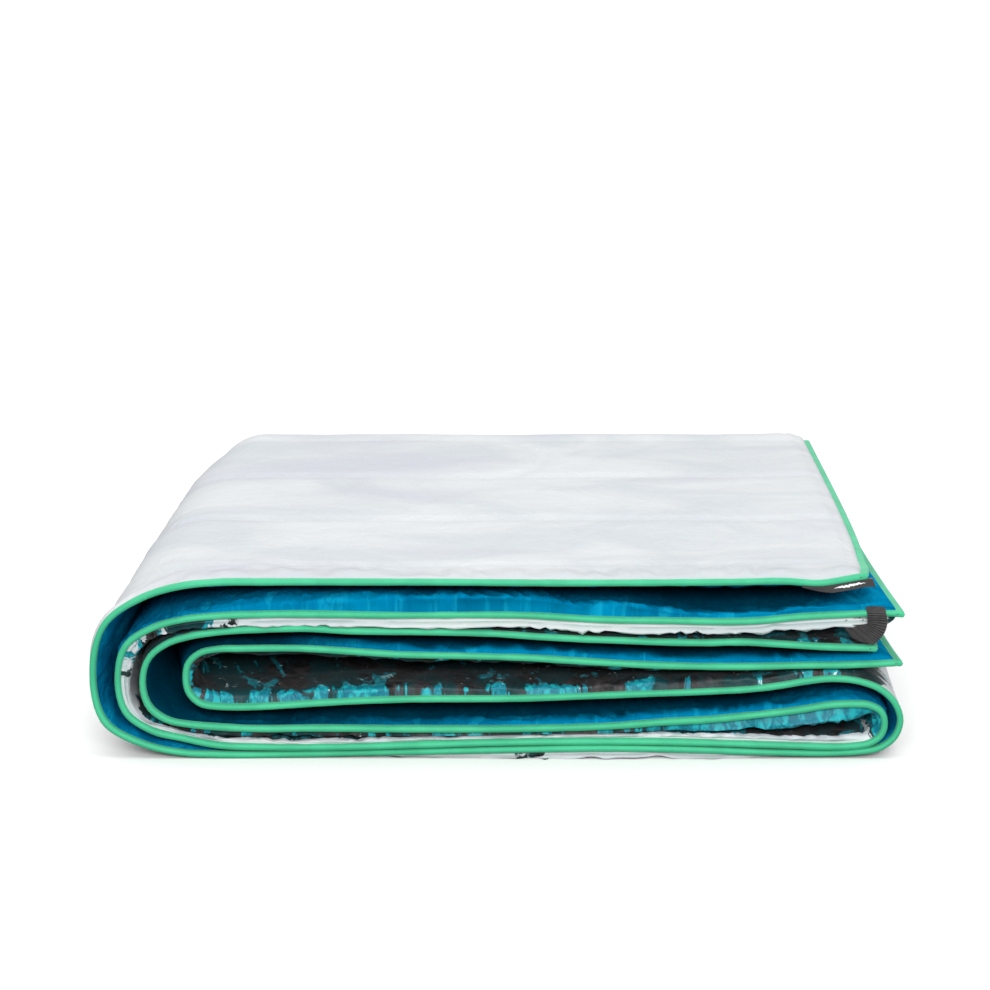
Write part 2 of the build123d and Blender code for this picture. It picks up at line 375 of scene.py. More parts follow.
U = stations()
ROWS = rows()
ACROSS = np.array([r[3] for r in ROWS])
MIDDLE_X, MIDDLE_Z = cad_path(U, 0.0)
ALONG = np.concatenate([[0], np.cumsum(np.hypot(np.diff(MIDDLE_X), np.diff(MIDDLE_Z)))])
SWAY = {side: EDGE_SWAY * patches(ALONG, 0.5, 31 + side, (SWAY_LENGTH, 1)) for side in SIDES}


def quilt_distance(s, across):
    """Distance from the nearest quilting row, in the flat quilt."""
    nearest = np.full(np.broadcast(s, across).shape, FAR)
    lines = np.arange(QUILT_FIRST, WIDTH, QUILT_SPACING)
    wave = QUILT_WAVE * patches(s, across, 77, QUILT_WAVE_SIZE)
    for i, line in enumerate(lines):
        nearest = np.minimum(nearest, np.abs(across + wave - line))
        if i % 2 == 0:
            turns = QUILT_TURN_AT + QUILT_TURN_SHIFT * (i // 2 - 1) + QUILT_TURN_EVERY * np.arange(-1, 4)
            centre = line + QUILT_SPACING / 2
            for turn in turns:
                dx = (s - turn) / QUILT_TURN_BULGE
                dy = across + wave - centre
                ring = np.abs(np.hypot(dx, dy) - QUILT_SPACING / 2) * QUILT_TURN_WIDTH
                nearest = np.where(s < turn + 2, np.minimum(nearest, ring), nearest)
    return nearest


def free_end_distance(u):
    """Distance of stations u from the free end of their pass, large elsewhere."""
    return np.where(u < 1, u * SPAN, np.where(u > 6, (7 - u) * SPAN, FAR))


def pillow(distance, reach):
    """How full the quilt is at a distance from a bound edge, from 0 to 1."""
    t = np.clip((distance - LOFT_START) / reach, 0, 1)
    return np.sqrt(1 - (1 - t) ** 2)


# Passes whose outer cloth faces another pass's, as (side, pass, other pass).
FACING = ((1, 4, 6), (1, 6, 4), (-1, 0, 6), (-1, 6, 0), (-1, 2, 4), (-1, 4, 2))


def facing_room(x, z):
    """Half the distance to what each ply faces on its shell side, for one depth."""
    room = {side: np.full(len(U), FAR) for side in SIDES}
    for side, s, other in FACING:
        here, there = (U >= s) & (U <= s + 1), (U >= other) & (U <= other + 1)
        order = np.argsort(x[side][there])
        height = np.interp(x[side][here], x[side][there][order], z[side][there][order])
        room[side][here] = np.minimum(room[side][here], np.abs(z[side][here] - height) / 2)
    folds = (U > 1) & (U < 2), (U > 5) & (U < 6)
    for here, there in (folds, folds[::-1]):
        gap = np.hypot(
            x[-1][here][:, None] - x[-1][there][None, :],
            z[-1][here][:, None] - z[-1][there][None, :],
        )
        room[-1][here] = np.minimum(room[-1][here], gap.min(1) / 2)
    base = (U > 1.5) & (U < 3.3)
    room[1][base] = np.minimum(room[1][base], z[1][base])
    return room


def soften(values, width=2):
    """values, averaged with their neighbours."""
    padded = np.pad(values, width, mode="edge")
    kernel = np.ones(2 * width + 1) / (2 * width + 1)
    return np.convolve(padded, kernel, mode="valid")


def ply_frame(u, side, depth, turn):
    """Middle of the quilt and the direction of its shell side at stations u of one row."""
    on_turn = turn not in FLAT.values()
    x, z = middle(u, side, depth, 0.0 if on_turn else MID)
    nx, nz = outward(x, z)
    c, s = (math.cos(turn), math.sin(turn)) if on_turn else (side, 0.0)
    lift = MID if on_turn else 0.0
    sway = np.interp(u, U, SWAY[side]) * smooth(1 - depth / SWAY_DEPTH)
    place = np.stack([x + nx * c * lift, FRONT + depth + sway + lift * s, z + nz * c * lift], -1)
    way = np.stack([nx * c, np.full(len(u), s), nz * c], -1)
    return place, way


def wrinkles(along, back, seed):
    """Creases running back from a bound edge, from about -1 to 1."""
    skew = 0.8 * patches(along, back, seed, SKEW_SIZE)
    ridge = 1 - 2.4 * np.abs(patches(along + skew * back, back, seed + 1, RIDGE_SIZE))
    fine = patches(along - skew * back, back, seed + 2, FINE_SIZE)
    return 0.65 * ridge + 0.35 * fine


def full_creases(along, across, seed):
    """Soft unevenness over the whole quilt, from about -1 to 1."""
    broad = patches(along, across, seed, BROAD_SIZE)
    small = patches(along, across, seed + 1, SMALL_SIZE)
    return 0.65 * broad + 0.35 * small


def near_front(u, table, rest, depth):
    """A value given at stations along a front edge, running back to its rest value behind it."""
    return rest + (read(table, u) - rest) * smooth(1 - depth / SETTLE_DEPTH)


def lowest_near(values, reach=2):
    """The lowest value round each place of a grid."""
    r, c = values.shape
    padded = np.pad(values, reach, mode="edge")
    steps = range(2 * reach + 1)
    return np.min([padded[i:i + r, j:j + c] for i in steps for j in steps], axis=0)


def quilt():
    """Middle, direction, half thicknesses and overhangs of the quilt, as arrays of rows by columns."""
    n = (len(ROWS), len(U))
    place, way = np.empty(n + (3,)), np.empty(n + (3,))
    halves = {"shell": np.empty(n), "lining": np.empty(n)}
    forward = {"shell": np.empty(n), "lining": np.empty(n)}
    for i, (side, depth, turn, across) in enumerate(ROWS):
        place[i], way[i] = ply_frame(U, side, depth, turn)
        both = {k: middle(U, k, depth) for k in SIDES}
        x, z = ({k: both[k][i] for k in SIDES} for i in (0, 1))
        gap = {"shell": facing_room(x, z)[side] * 2, "lining": np.hypot(x[1] - x[-1], z[1] - z[-1])}
        ends = free_end_distance(U)
        quilting = 1 - QUILT_PINCH * np.exp(-((quilt_distance(ALONG, across) / QUILT_GROOVE) ** 2))
        edge = np.minimum(depth, ends)
        edge_zone = np.exp(-edge / EDGE_CREASE_REACH) * smooth((edge - LOFT_START) / EDGE_CREASE_START)
        for layer, seed in (("shell", 5), ("lining", 9)):
            creases = EDGE_CREASE * edge_zone * wrinkles(ALONG, edge + 300 * (1 - side), seed)
            broad = SOFT_CREASE * full_creases(ALONG, across, seed + 4)
            puff = near_front(U, PUFF[layer, side], 1.0, depth)
            full = pillow(depth, read(REACH[layer, side], U)) * pillow(ends, END_REACH)
            half = EDGE_HALF + (HALF_LOFT * puff - EDGE_HALF) * full * quilting + creases + broad * full
            share = near_front(U, SHARE[layer, side], 0.5, depth)
            top = soften(np.maximum(gap[layer] * share - PLY_GAP / 2, LEAST_HALF))
            halves[layer][i] = np.minimum(half, top)
            lip = near_front(U, OVERHANG[layer, side], 0.0, depth)
            lip = lip * math.exp(-max(depth - LIP_FLAT, 0) / LIP_FADE) * smooth((depth - LOFT_START) / 3)
            waves = 1 + LIP_WAVES * wrinkles(ALONG, 0 * U, seed + 40)
            forward[layer][i] = lip * (halves[layer][i] / HALF_LOFT) * waves
    return place, way, halves, forward


# How much of the room between two facing surfaces each takes near the front, along its edge.
SHARE = {
    ("shell", 1): ((3.7, 0.5), (4.1, 0.62), (5, 0.62), (5.5, 0.5), (6, 0.38)),
    ("shell", -1): (
        (0, 0.82), (0.9, 0.80), (1.3, 0.6), (1.8, 0.55), (2, 0.42), (3, 0.42), (4, 0.56), (5, 0.56),
        (5.6, 0.4), (6, 0.18),
    ),
    ("lining", 1): ((0.95, 0.18), (1.1, 0.35), (2, 0.5), (3, 0.5), (4, 0.38), (5, 0.40), (6, 0.66)),
    ("lining", -1): ((0.95, 0.80), (1.1, 0.65), (2, 0.5), (3, 0.5), (4, 0.62), (5, 0.60), (6, 0.34)),
}
# How far each surface hangs out over its tape.
OVERHANG = {
    ("shell", 1): (
        (0, 1.5), (0.9, 1), (1.1, 0), (1.8, 0), (2.3, 9), (2.8, 9), (3, 0), (3.9, 0), (4.1, 2.5), (5, 2.5),
        (7, 1),
    ),
    ("shell", -1): (
        (1, 8), (1.5, 7), (2, 7.5), (3, 6.5), (3.3, 1), (3.8, 1), (4, 3.5), (5, 2.5), (5.3, 0),
    ),
    ("lining", 1): ((5.9, 0), (6.1, 1.5), (7, 2)),
    ("lining", -1): ((0.6, 4.5), (0.85, 3), (1, 0), (3.9, 0), (4.1, 1.5), (4.9, 1.5), (5, 0)),
}
# How far behind its tape each surface comes to its full height.
REACH = {
    ("shell", 1): (
        (0, 14), (1.9, 20), (2.2, 5), (2.8, 5), (3.1, 20), (3.9, 20), (4.1, 9), (5, 9), (5.5, 14), (6, 20),
    ),
    ("shell", -1): ((0, 7), (2.9, 6), (3.2, 12), (3.7, 12), (4, 7), (5, 7), (5.3, 14), (6, 40)),
    ("lining", 1): ((6.05, 34), (6.2, 7)),
    ("lining", -1): ((0, 5), (0.7, 7), (1, 34), (3.8, 34), (4.1, 9), (4.9, 9), (5.1, 34)),
}
# How full each surface is near the front, against its fullness deeper in.
PUFF = {
    ("shell", 1): (
        (0, 0.9), (0.95, 0.7), (1.15, 0.3), (1.8, 0.3), (2.2, 0.6), (2.5, 1), (2.9, 0.6), (3.1, 0.3),
        (3.8, 0.3), (4.1, 1.1), (5, 1.1), (5.5, 0.8),
    ),
    ("shell", -1): (
        (0, 1.2), (0.9, 1.1), (1.2, 0.9), (1.42, 1.1), (1.62, 0.85), (1.8, 0.6), (2.4, 0.52), (2.7, 0.6),
        (3, 0.8), (3.75, 0.8), (4, 1.6), (4.12, 1.6), (4.32, 0.9), (4.9, 0.95), (5.2, 0.7), (6, 0.6),
    ),
    ("lining", 1): (
        (0, 0.7), (2, 0.6), (4, 0.6), (5.8, 0.35), (6.08, 0.35), (6.18, 0.62), (6.5, 0.7), (7, 0.72),
    ),
    ("lining", -1): (
        (0, 0.8), (0.09, 0.9), (0.18, 0.8), (0.25, 0.6), (0.30, 0.8), (0.38, 1.5), (0.45, 1.35),
        (0.53, 1.8), (0.88, 1.8), (0.94, 1.3), (0.99, 0.65), (1.1, 0.4), (3.8, 0.5), (4.05, 0.6),
        (4.3, 0.68), (4.5, 0.6), (4.9, 0.5), (5.1, 0.4), (7, 0.5),
    ),
}

PLACE, WAY, HALVES, FORWARD = quilt()
FILL = {layer: np.maximum(lowest_near(half) - FILL_INSET, 0.2) for layer, half in HALVES.items()}

# ---- meshes

SHARP = math.radians(55)


def linked(name, data):
    """A new object of the scene."""
    made = bpy.data.objects.new(name, data)
    bpy.context.scene.collection.objects.link(made)
    return made


def mesh_piece(name, points, faces, uvs=None, attributes=None, sharp=True):
    """An object from points in millimetres. uvs and attributes are given for each point."""
    mesh = bpy.data.meshes.new(name)
    mesh.from_pydata((np.asarray(points) * MM).tolist(), [], faces)
    mesh.polygons.foreach_set("use_smooth", np.ones(len(mesh.polygons), bool))
    if uvs is not None:
        corners = np.empty(len(mesh.loops), np.int32)
        mesh.loops.foreach_get("vertex_index", corners)
        layer = mesh.uv_layers.new(name="UVMap")
        layer.data.foreach_set("uv", uvs.reshape(-1, 2)[corners].astype(np.float32).ravel())
    for key, values in (attributes or {}).items():
        attribute = mesh.attributes.new(key, "FLOAT", "POINT")
        attribute.data.foreach_set("value", np.asarray(values, np.float32).ravel())
    mesh.update()
    if sharp:
        mesh.set_sharp_from_angle(angle=SHARP)
    return linked(name, mesh)


def grid_faces(count_rows, count_columns, start=0, flip=False):
    i, j = np.meshgrid(np.arange(count_rows - 1), np.arange(count_columns - 1), indexing="ij")
    a = start + i * count_columns + j
    quads = np.stack([a, a + 1, a + count_columns + 1, a + count_columns], -1).reshape(-1, 4)
    return quads[:, ::-1] if flip else quads


def uv_grid(u, v):
    """The pair (u, v) at each place of a grid that u and v spread over."""
    return np.stack(np.broadcast_arrays(u, v), -1)


def border(count_rows, count_columns):
    """Indices round the edge of a grid, in order."""
    last = count_columns * (count_rows - 1)
    top = np.arange(count_columns)
    right = np.arange(1, count_rows) * count_columns + count_columns - 1
    bottom = last + np.arange(count_columns - 1)[::-1]
    left = np.arange(1, count_rows - 1)[::-1] * count_columns
    return np.concatenate([top, right, bottom, left])


def slab(name, outer, inner, uvs, attributes=None):
    """A closed piece between two grids of points of the same shape."""
    r, c = outer.shape[:2]
    n = r * c
    ring = border(r, c)
    after = np.roll(ring, -1)
    rim = np.stack([ring, after, after + n, ring + n], -1)[:, ::-1]
    faces = np.concatenate([grid_faces(r, c), grid_faces(r, c, n, flip=True), rim])
    points = np.concatenate([outer.reshape(-1, 3), inner.reshape(-1, 3)])
    uv = np.concatenate([uvs.reshape(-1, 2)] * 2)
    doubled = {k: np.concatenate([v.ravel()] * 2) for k, v in (attributes or {}).items()}
    return mesh_piece(name, points, faces.tolist(), uv, doubled)


# Columns of each stretch, cut where the CAD is cut.
BEND_CUT = (FREE_END - BEND_END) / SPAN
CUTS = {
    "cover": (0, BEND_CUT),
    "cover_bend": (BEND_CUT, 1),
    "folded_run": (1, 6),
    "inner_bend": (6, 7 - BEND_CUT),
    "inner": (7 - BEND_CUT, 7),
}
ROOT_SHELLS = ["shell_outer_fold", "shell_base", "shell_right_fold", "shell_middle", "shell_inner_fold"]


def columns(cut):
    low, high = CUTS[cut]
    return np.nonzero((U > low - 1e-6) & (U < high + 1e-6))[0]


def attach(piece, cut, *nodes):
    """piece moves with the body of its stretch, or is baked in place on a bend, and stands for these CAD
    nodes.
    """
    if cut.endswith("_bend"):
        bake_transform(piece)
    else:
        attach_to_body(piece, "folded_base" if cut == "folded_run" else "upper_half")
    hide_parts(*nodes)


# ---- what is painted on the quilt, print and painted shade, along ply A (1) and ply B (-1)

# How dark the print is along the blanket: 0 is snow, 1 is rock.
PRINT_ALONG = {
    1: ((2.46, 0), (2.50, 0.5), (2.53, 0.5), (2.57, 0), (3.4, 0.05), (3.8, 0.45), (3.95, 0.95)),
    -1: (
        (0, 0.55), (0.07, 0.4), (0.13, 0.02), (0.84, 0.02), (0.92, 0.48), (1, 0.55), (1.3, 0.54),
        (1.42, 0.42), (1.56, 0.36), (1.7, 0.08), (2, 0.03), (2.9, 0.05), (3.2, 0.5), (3.5, 0.9), (7, 1),
    ),
}
# Ply B's snow on the base is a narrow band: how dark the print is behind it.
DARK_BEHIND = ((1.55, 0), (1.75, 0.95), (3.05, 0.95), (3.3, 0))
SNOW_BAND = (8.0, 14.0)
# How much of the rock is open water, and how much less it is behind the front swells.
WATER_ALONG = {
    1: ((4.2, 0), (4.5, 0.25), (4.95, 0.3), (5.3, 0)),
    -1: (
        (1.2, 0), (1.35, 0.7), (1.6, 0.7), (1.7, 0), (3, 0), (3.3, 0.6), (3.6, 1.5), (3.95, 1.5),
        (4.15, 1.3), (4.3, 0.3), (4.45, 0),
    ),
}
DRY_ALONG = {1: ((4, 0), (4.3, 0.5), (5.5, 0.5), (6, 0.8)), -1: ((0, 0), (7, 0))}
DRY_DEPTH = (80.0, 140.0)
# Painted shade on the lining: how dark it is drawn on the undersides and inside the inner left fold, and
# behind its front swell.
LINING_PAINTED_SHADE = {
    1: ((0.9, 0.62), (1.1, 0.25), (1.5, 0), (3.9, 0), (4.1, 0.9), (6.05, 1), (6.3, 0)),
    -1: ((4.5, 0), (4.85, 1), (6.05, 1), (7, 0.8)),
}
LINING_SHADE_BEHIND_SWELL = {
    1: ((6.05, 0), (6.15, 0.8), (6.88, 0.9), (6.94, 0)),
    -1: (
        (0.08, 0), (0.14, 0.85), (0.33, 0.85), (0.42, 0.3), (0.9, 0.3), (1, 0), (4, 0), (4.15, 0.9),
        (5, 1),
    ),
}
# Behind the front swell means from the first depth on, and fully from the second.
SWELL_DEPTH = (6.0, 18.0)
# Painted shade: the snow is drawn greyer in a strip behind the cover's front edge: where it starts and
# ends.
SNOW_SHADE_ALONG = ((0.9, 1), (1.3, 0))
SNOW_SHADE_FRONT, SNOW_SHADE_BACK = 4.0, (10.0, 30.0)


def along_plies(tables):
    """Values given along ply A and along ply B, spread over the whole quilt."""
    a, b = (read(tables[side], U) for side in SIDES)
    over = smooth((ACROSS[:, None] - 0.8 * HALF_WIDTH) / (0.4 * HALF_WIDTH))
    return a[None, :] * (1 - over) + b[None, :] * over


def rising(distance, limits):
    """From 0 at the first limit to 1 at the second, as a column over the rows."""
    low, high = limits
    return smooth((distance - low) / (high - low))[:, None]


FRONT_DEPTH = np.minimum(ACROSS, WIDTH - ACROSS)
BEHIND_SWELL = rising(FRONT_DEPTH, SWELL_DEPTH)
BEHIND_BAND = rising(WIDTH - ACROSS, SNOW_BAND) * rising(ACROSS, (HALF_WIDTH, HALF_WIDTH + 100))
# Painted shade on the snow, in a strip just behind the front edge.
SNOW_SHADE_STRIP = smooth(ACROSS / SNOW_SHADE_FRONT)[:, None] * (1 - rising(ACROSS, SNOW_SHADE_BACK))
DRY = BEHIND_SWELL * (1 - rising(FRONT_DEPTH, DRY_DEPTH)) * along_plies(DRY_ALONG)
PAINT = {
    "shell": {
        "print_darkness": np.maximum(along_plies(PRINT_ALONG), BEHIND_BAND * read(DARK_BEHIND, U)),
        "print_water": along_plies(WATER_ALONG) - DRY,
        "print_grey": SNOW_SHADE_STRIP * read(SNOW_SHADE_ALONG, U),
    },
    "lining": {
        # The lining's painted shade: darker on the undersides, inside the inner left fold and behind its
        # front swell.
        "fold_inside": np.maximum(along_plies(LINING_PAINTED_SHADE), BEHIND_SWELL * along_plies(LINING_SHADE_BEHIND_SWELL)),
    },
}
UV = uv_grid(ALONG[None, :] * MM, ACROSS[:, None] * MM)
TO_FRONT = np.array((0.0, -1.0, 0.0))


def every_second(count):
    """Every second index, and the last."""
    return np.unique(np.append(np.arange(0, count, 2), count - 1))


def build_quilt():
    """The outer cloth, the lining and the insulation of each stretch."""
    made = []
    for cut in CUTS:
        c = columns(cut)
        place, way, uv = PLACE[:, c], WAY[:, c], UV[:, c]
        suffix = "" if cut == "folded_run" else "_" + cut
        shells = ROOT_SHELLS if cut == "folded_run" else [f"shell_{cut}"]
        for name, layer, facing, nodes, slot in (
            ("Outer_cloth", "shell", 1, shells, "shell_print"),
            ("Lining", "lining", -1, [f"lining_{cut}"], "lining_blue"),
        ):
            half = HALVES[layer][:, c, None]
            over = TO_FRONT * FORWARD[layer][:, c, None]
            surfaces = [place + facing * way * h + over for h in (half, half - CLOTH)]
            paint = {key: values[:, c] for key, values in PAINT[layer].items()}
            piece = slab(name + suffix, *surfaces[::facing], uv, paint)
            attach(piece, cut, *nodes)
            made.append((piece, slot))

        pick = np.ix_(every_second(len(ROWS)), every_second(len(c)))
        piece = slab(
            "Insulation" + suffix,
            (place + way * FILL["shell"][:, c, None])[pick],
            (place - way * FILL["lining"][:, c, None])[pick],
            uv[pick],
        )
        attach(piece, cut, f"insulation_{cut}")
        made.append((piece, "insulation_white"))
    return made


# ---- edge tape

TAPE_HEM = 0.4
TAPE_RIPPLE, TAPE_RIPPLE_SIZE = 0.07, (9, 1)
TAPE_TILT, TAPE_TILT_SIZE = 0.10, (70, 1)
# How full the end tape is close to a front corner, as (depth, share).
END_NOSE = ((0.15, 0.5), (0.6, 0.85), (1.2, 0.97))
# The end tape's slot is almost closed at a front corner, and opens between this depth and twice it.
SLOT_CLOSED, SLOT_OPENS = 0.05, 3.0


def tape_section():
    """The tape's section as (depth, offset), a folded strip with a round nose and a slot for the quilt."""
    turns = np.linspace(math.pi / 2, 0, 6)
    nose = [(TAPE_HALF * (1 - math.cos(a)), TAPE_HALF * math.sin(a)) for a in turns]
    slot, rise = TAPE_SLOT, TAPE_HALF - TAPE_SLOT
    half = [
        (2.2, slot), (4.0, slot), (TAPE_DEPTH - 0.2, slot + 0.1 * rise), (TAPE_DEPTH, slot + 0.5 * rise),
        (TAPE_DEPTH - TAPE_HEM, slot + 0.9 * rise), (4.4, slot + 0.88 * rise), (3.9, slot + 0.66 * rise),
        (3.4, slot + 0.94 * rise),
    ] + nose[:-1]
    return half + [nose[-1]] + [(d, -o) for d, o in reversed(half)]


SECTION = np.array(tape_section())


def running_length(points):
    """Distance along a line of points, from its start."""
    return np.concatenate([[0], np.cumsum(np.linalg.norm(np.diff(points, axis=0), axis=1))])


def tube_faces(count, around, start=0):
    """Faces of a tube through rings of points, with its ends closed."""
    i, j = np.meshgrid(np.arange(count - 1), np.arange(around), indexing="ij")
    a, b = start + i * around + j, start + i * around + (j + 1) % around
    sides = np.stack([a, b, b + around, a + around], -1).reshape(-1, 4).tolist()
    first = list(range(start, start + around))
    return sides + [first[::-1], [k + (count - 1) * around for k in first]]


def swept(name, rings, along):
    """A closed tube through rings of points. along runs with the rings."""
    uv = uv_grid(along[:, None], running_length(rings[0])[None, :]) * MM
    return mesh_piece(name, rings.reshape(-1, 3), tube_faces(*rings.shape[:2]), uv)


def front_tape(cut, side):
    """The tape on one ply's front edge, over one stretch. It starts and ends inside the end tape."""
    u = U[columns(cut)]
    hem = (TAPE_DEPTH - TAPE_HEM) / SPAN
    if cut == "cover":
        u = np.concatenate([[hem], u[u > hem + 1e-4]])
    if cut == "inner":
        u = np.concatenate([u[u < 7 - hem - 1e-4], [7 - hem]])
    along = np.interp(u, U, ALONG)
    ripple = 1 + TAPE_RIPPLE * patches(along, 0.5, 50 + side, TAPE_RIPPLE_SIZE)
    tilt = TAPE_TILT * patches(along, 0.5, 60 + side, TAPE_TILT_SIZE)
    rings = np.empty((len(u), len(SECTION), 3))
    for k, (depth, offset) in enumerate(SECTION):
        place, way = ply_frame(u, side, depth, FLAT[side])
        lean = (depth - TAPE_DEPTH / 2) * tilt
        rings[:, k] = place + way * (offset * ripple + lean)[:, None]
    return swept(f"Edge_tape_{'a' if side > 0 else 'b'}_{cut}", rings, along)


def end_tape(cut):
    """The tape on a free end, from ply A's front edge round the back fold to ply B's."""
    first = cut == "cover"
    places = [(1, d, FLAT[1], d) for d, _ in END_NOSE] + ROWS
    places += [(-1, d, FLAT[-1], WIDTH - d) for d, _ in END_NOSE[::-1]]
    order = np.argsort(SECTION[:, 0], kind="stable")
    depths = SECTION[order, 0]
    inside = np.abs(SECTION[order, 1]) < TAPE_SLOT + 0.01
    rings = np.empty((len(places), len(SECTION), 3))
    for i, (side, depth, turn, across) in enumerate(places):
        u = depths / SPAN if first else 7 - depths[::-1] / SPAN
        # Stations that are all different, so that a direction can be worked out between them.
        u = u + np.arange(len(u)) * 1e-7
        place, way = ply_frame(u, side, depth, turn)
        if not first:
            place, way = place[::-1], way[::-1]
        ripple = 1 + TAPE_RIPPLE * patches(across, 3.5, 52, TAPE_RIPPLE_SIZE)
        full = read(END_NOSE, depth) if turn in FLAT.values() else 1
        opened = SLOT_CLOSED + (1 - SLOT_CLOSED) * smooth((depth - SLOT_OPENS) / SLOT_OPENS)
        closed = np.where(inside, opened, 1.0)
        rings[i, order] = place + way * (SECTION[order, 1] * ripple * full * closed)[:, None]
    if not first:
        rings = rings[:, ::-1]
    return swept(f"Edge_tape_end_{cut}", rings, np.array([across for _, _, _, across in places]))


def build_tapes():
    made = []
    for cut in CUTS:
        for side in SIDES:
            piece = front_tape(cut, side)
            attach(piece, cut, f"binding_{'a' if side > 0 else 'b'}_{cut}")
            made.append((piece, "binding_green"))
    for cut in ("cover", "inner"):
        piece = end_tape(cut)
        attach(piece, cut, f"binding_end_{cut}")
        made.append((piece, "binding_green"))
    return made


# ---- webbing loop and label

WRAP_LOW, WRAP_HIGH = cad("corner_loop_wrap")
LOOP_SHIFT = -2.0
LOOP_MIDDLE = (WRAP_LOW[0] + WRAP_HIGH[0]) / 2 + LOOP_SHIFT
LOOP_THICK = 1.0
LOOP_CROWN = 0.5
LOOP_RIB = 0.28
LOOP_RIB_PITCH = 1.35
LOOP_WIDTH = 12.0
LOOP_STEPS, LOOP_COLUMNS = 190, 14
# The left and right edges of the webbing, as distances right of the wrap's middle, behind the front
# edge and above the middle of ply B's tape. It starts on the tape, hangs in front and comes back under.
LOOP_EDGES = (
    (
        (-3.4, 5.2, 2.6), (-3.2, 1.4, 2.8), (-2.9, -1.8, 1.0), (-2.6, -2.9, -3.4), (-3.0, -2.8, -5.5),
        (-7.0, -2.2, -6.2), (-12.0, -1.0, -6.6), (-16.0, 0.6, -7.2), (-15.0, 2.8, -4.5),
        (-9.0, 5.2, -2.6),
    ),
    (
        (8.0, 5.2, 2.4), (8.2, 1.4, 2.6), (8.4, -2.6, 0.6), (9.0, -5.4, -4.0), (7.6, -6.6, -9.6),
        (4.6, -6.2, -14.2), (0.8, -4.4, -17.4), (-8.0, -0.6, -15.8), (-11.0, 2.0, -12.0),
        (-4.0, 5.2, -2.6),
    ),
)
# The zigzag tacks above and below the tape, as (side, left, right), and their front and back rows.
TACKS = ((1, -2.6, 7.2), (-1, -10.5, 1.6))
TACK_ROWS = (1.8, 3.6)
TACK_POINTS = 22
TACK_RISE = 3.25
THREAD_RADIUS = 0.2
THREAD_SIDES = 6
# How thick a stitch is along its length, as (share of its length, share of its radius).
THREAD_SWELL = ((0, 0.35), (0.12, 0.9), (0.5, 1.0), (0.88, 0.9), (1, 0.35))

LABEL_LEFT, LABEL_RIGHT = 181.0, 223.0
LABEL_DROP = 4.6
LABEL_COLUMNS, LABEL_ROWS = 30, 12
LABEL_HALF = 0.4
LABEL_SLANT = 1.5
LABEL_WAVE = 0.7
SEAM_ROWS = np.linspace(-1.2, 6.6, 3)
SEAM_TOP, SEAM_BOTTOM = 0.1, 0.8


def edge_point(x, side):
    """Place of the front edge's middle on the cover pass at x."""
    u = np.linspace(0.005, 0.6, 400)
    place, _ = ply_frame(u, side, TAPE_NOSE, FLAT[side])
    order = np.argsort(place[:, 0])
    return np.array([np.interp(x, place[order, 0], place[order, k]) for k in range(3)])


def build_loop():
    tape = edge_point(LOOP_MIDDLE, -1)
    at = np.linspace(0, 1, LOOP_STEPS)
    edges = []
    for points in LOOP_EDGES:
        reach = np.linspace(0, 1, len(points))
        edges.append(np.stack([curve_through(reach, values, at) for values in zip(*points)], -1))
    share = np.linspace(0, 1, LOOP_COLUMNS)[None, :, None]
    sheet = edges[0][:, None] * (1 - share) + edges[1][:, None] * share
    sheet = sheet + np.array((LOOP_MIDDLE, tape[1], tape[2]))
    normal = np.cross(np.gradient(sheet, axis=0), np.gradient(sheet, axis=1))
    normal /= np.linalg.norm(normal, axis=-1, keepdims=True)
    length = running_length(sheet[:, LOOP_COLUMNS // 2])
    rib = LOOP_RIB * np.cos(2 * math.pi * length / LOOP_RIB_PITCH)[:, None, None]
    crown = LOOP_CROWN * np.sin(math.pi * share)
    surfaces = [sheet + normal * (crown + side * (LOOP_THICK / 2 + rib)) for side in SIDES]
    uv = uv_grid(np.linspace(0, LOOP_WIDTH, LOOP_COLUMNS)[None, :], length[:, None]) * MM
    piece = slab("Corner_loop", *surfaces, uv)
    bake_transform(piece)
    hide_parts("corner_loop_wrap", "corner_loop")
    return [(piece, "webbing_black")]


def thread(name, runs):
    """Short stitches as one mesh of small capsules from point to point."""
    points, faces = [], []
    for a, b in runs:
        a, b = np.asarray(a, float), np.asarray(b, float)
        way = (b - a) / np.linalg.norm(b - a)
        side = np.cross(way, (0.3, 0.2, 1.0))
        side /= np.linalg.norm(side)
        up = np.cross(way, side)
        faces += tube_faces(len(THREAD_SWELL), THREAD_SIDES, len(points))
        turns = [2 * math.pi * k / THREAD_SIDES for k in range(THREAD_SIDES)]
        rim = [side * math.cos(turn) + up * math.sin(turn) for turn in turns]
        for share, swell in THREAD_SWELL:
            points += [a + (b - a) * share + out * THREAD_RADIUS * swell for out in rim]
    return mesh_piece(name, points, faces, sharp=False)


def build_bartacks():
    """Zigzag tacks that hold the webbing to the tape, above and below it."""
    tape = edge_point(LOOP_MIDDLE, -1)
    y = [tape[1] + row for row in TACK_ROWS]
    runs = []
    for side, left, right in TACKS:
        z = tape[2] + side * TACK_RISE
        xs = LOOP_MIDDLE + np.linspace(left, right, TACK_POINTS)
        for i, (a, b) in enumerate(zip(xs, xs[1:])):
            runs.append(((a, y[i % 2], z), (b, y[1 - i % 2], z)))
    piece = thread("Bartack_threads", runs)
    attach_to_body(piece, "upper_half")
    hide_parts("corner_loop_bartacks")
    return [(piece, "webbing_black")]


